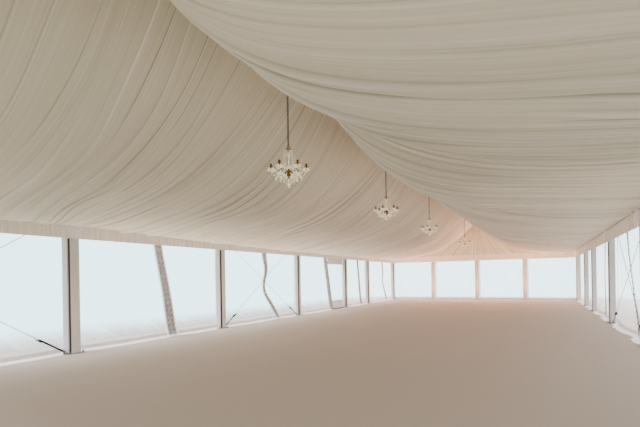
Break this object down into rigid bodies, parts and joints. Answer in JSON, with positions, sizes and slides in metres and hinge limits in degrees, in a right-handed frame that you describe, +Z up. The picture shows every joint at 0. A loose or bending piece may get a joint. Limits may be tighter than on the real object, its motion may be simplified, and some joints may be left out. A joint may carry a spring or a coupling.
{
  "type": "frame marquee tent",
  "caption": "Clear-span frame marquee with a white pitched roof, pleated swag ceiling lining, clear side walls, draped legs and hanging chandeliers, open at one end.",
  "frame": {"origin": "on the ground, in the middle of the tent's plan", "axes": "+Z up, +Y along the tent from the open near end to the closed far gable, +X to the right across it"},
  "size_m": [10.3106, 25.81, 4.6725],
  "materials": {
    "aluminium_frame": "mill-finish extruded aluminium box beam",
    "lining_cloth": "matt ivory polyester lining, ruched into pleats",
    "drape_cloth": "matt ivory woven polyester, gathered or flat",
    "roof_sheet": "white coated tarpaulin, satin",
    "clear_sheet": "clear flexible window sheet with white coated borders",
    "bracing_cable": "dark coated steel cable and ratchet",
    "chandelier_brass": "aged gold-coloured brass with crystal drops"
  },
  "bodies": {
    "root": {"portal_frame_0": "aluminium_frame", "portal_frame_1": "aluminium_frame", "portal_frame_2": "aluminium_frame", "portal_frame_3": "aluminium_frame", "portal_frame_4": "aluminium_frame", "portal_frame_5": "aluminium_frame", "portal_frame_6": "aluminium_frame", "ridge_purlin": "aluminium_frame", "left_eave_purlin": "aluminium_frame", "right_eave_purlin": "aluminium_frame", "far_gable_frame": "aluminium_frame", "near_gable_beam": "aluminium_frame", "liner_bay_0": "lining_cloth", "liner_bay_1": "lining_cloth", "liner_bay_2": "lining_cloth", "liner_bay_3": "lining_cloth", "liner_bay_4": "lining_cloth", "liner_bay_5": "lining_cloth", "near_gable_liner": "lining_cloth", "far_gable_liner": "lining_cloth", "left_eave_drapery": "drape_cloth", "right_eave_drapery": "drape_cloth", "gable_drapery": "drape_cloth", "roof_cover_bay_0": "roof_sheet", "roof_cover_bay_1": "roof_sheet", "roof_cover_bay_2": "roof_sheet", "roof_cover_bay_3": "roof_sheet", "roof_cover_bay_4": "roof_sheet", "roof_cover_bay_5": "roof_sheet", "near_gable_cover": "roof_sheet", "far_gable_cover": "roof_sheet", "left_wall_bay_0": "clear_sheet", "right_wall_bay_0": "clear_sheet", "left_wall_bay_1": "clear_sheet", "right_wall_bay_1": "clear_sheet", "left_wall_bay_2": "clear_sheet", "right_wall_bay_2": "clear_sheet", "left_wall_bay_3": "clear_sheet", "right_wall_bay_3": "clear_sheet", "left_wall_bay_4": "clear_sheet", "right_wall_bay_4": "clear_sheet", "left_wall_bay_5": "clear_sheet", "right_wall_bay_5": "clear_sheet", "entry_panel": "clear_sheet", "gable_wall": "clear_sheet", "left_bracing_bay_0": "bracing_cable", "right_bracing_bay_0": "bracing_cable", "left_bracing_bay_2": "bracing_cable", "right_bracing_bay_2": "bracing_cable"},
    "chandelier_1_hanging": {"chandelier_1": "chandelier_brass"},
    "chandelier_2_hanging": {"chandelier_2": "chandelier_brass"},
    "chandelier_3_hanging": {"chandelier_3": "chandelier_brass"},
    "chandelier_4_hanging": {"chandelier_4": "chandelier_brass"}
  },
  "joints": [
    {"name": "chandelier_1_swing", "type": "hinge", "parent": "root", "child": "chandelier_1_hanging", "pos_m": [0, -8.25, 4.38084], "axis": [1, 0, 0], "range_deg": [-15, 15]},
    {"name": "chandelier_2_swing", "type": "hinge", "parent": "root", "child": "chandelier_2_hanging", "pos_m": [0, -3.75, 4.38084], "axis": [1, 0, 0], "range_deg": [-15, 15]},
    {"name": "chandelier_3_swing", "type": "hinge", "parent": "root", "child": "chandelier_3_hanging", "pos_m": [0, 0.75, 4.38084], "axis": [1, 0, 0], "range_deg": [-15, 15]},
    {"name": "chandelier_4_swing", "type": "hinge", "parent": "root", "child": "chandelier_4_hanging", "pos_m": [0, 8.25, 4.38084], "axis": [1, 0, 0], "range_deg": [-15, 15]}
  ]
}
